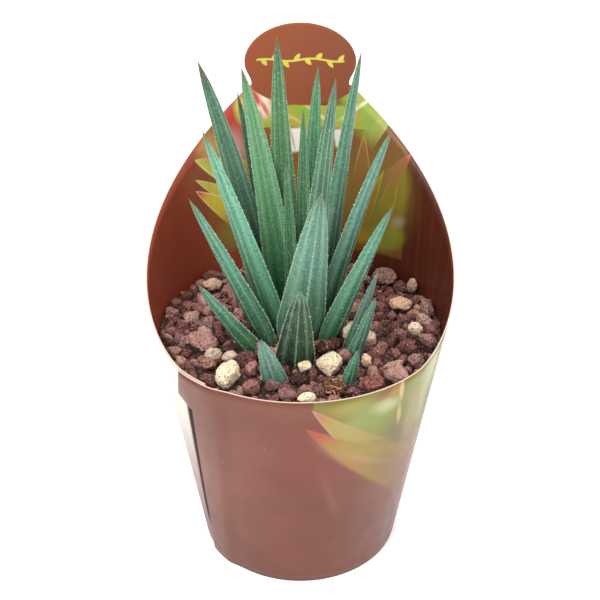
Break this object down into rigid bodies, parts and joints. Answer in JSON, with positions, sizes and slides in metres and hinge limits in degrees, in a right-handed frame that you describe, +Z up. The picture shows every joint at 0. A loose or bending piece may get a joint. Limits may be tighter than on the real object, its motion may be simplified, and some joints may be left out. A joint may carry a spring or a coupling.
{
  "type": "potted haworthia",
  "caption": "Small succulent with pointed upright leaves in a gravel-topped nursery pot, standing in a conical printed card sleeve with an arched back and a rounded tab.",
  "frame": {"origin": "centre of the nursery pot's flat underside, on the surface it stands on", "axes": "+Z up the pot's axis; -Y to the front, where the sleeve's rim is low; +Y to the arched back with its tab; +X to the right seen from the front"},
  "size_m": [0.0898, 0.0966, 0.1567],
  "materials": {
    "printed_card": "gloss printed card, brown with a blurred succulent print",
    "pot_plastic": "thin moulded plastic, dark",
    "soil": "moist peat and bark, matte",
    "stem": "dry stem, matte",
    "gravel": "loose crushed lava gravel, matte",
    "lava_stone": "porous lava, matte mauve-brown",
    "pumice": "pitted pumice, matte cream",
    "coir_fibre": "coarse coir and peat, matte",
    "leaf_skin": "waxy blue-green leaf, satin, with pale raised dots and toothed pale edges"
  },
  "bodies": {
    "root": {"crown": "stem", "fibre_lump_centre": "coir_fibre", "fibre_lump_front": "coir_fibre", "gravel_bed": "gravel", "lava_angular_right": "lava_stone", "lava_behind_shoot": "lava_stone", "lava_big_right": "lava_stone", "lava_brown_right": "lava_stone", "lava_flat_left": "lava_stone", "lava_front_left": "lava_stone", "lava_front_mid": "lava_stone", "lava_grey_right": "lava_stone", "lava_left_front": "lava_stone", "lava_mauve_back": "lava_stone", "lava_pink_centre": "lava_stone", "lava_purple_front": "lava_stone", "lava_red_front": "lava_stone", "lava_right_front": "lava_stone", "lava_slab": "lava_stone", "lava_wall_left": "lava_stone", "leaf_back_right": "leaf_skin", "leaf_back_tall": "leaf_skin", "leaf_front": "leaf_skin", "leaf_front_short": "leaf_skin", "leaf_inner_dark": "leaf_skin", "leaf_inner_small": "leaf_skin", "leaf_keeled_tall": "leaf_skin", "leaf_left_broad": "leaf_skin", "leaf_left_long": "leaf_skin", "leaf_left_low": "leaf_skin", "leaf_left_mid": "leaf_skin", "leaf_left_slim": "leaf_skin", "leaf_left_tall": "leaf_skin", "leaf_rear_left": "leaf_skin", "leaf_rear_right": "leaf_skin", "leaf_right_long": "leaf_skin", "leaf_right_mid": "leaf_skin", "leaf_right_tall": "leaf_skin", "nursery_pot": "pot_plastic", "offset_leaf_low": "leaf_skin", "offset_leaf_tall": "leaf_skin", "offset_leaf_tiny": "leaf_skin", "peat_lump": "coir_fibre", "pumice_egg": "pumice", "pumice_front": "pumice", "pumice_holed": "pumice", "pumice_oval": "pumice", "pumice_pale_right": "pumice", "pumice_round": "pumice", "pumice_small": "pumice", "pumice_tan_left": "pumice", "pumice_tan_right": "pumice", "pumice_wall": "pumice", "root_ball": "soil", "shoot_leaf": "leaf_skin", "sleeve": "printed_card"}
  },
  "joints": []
}
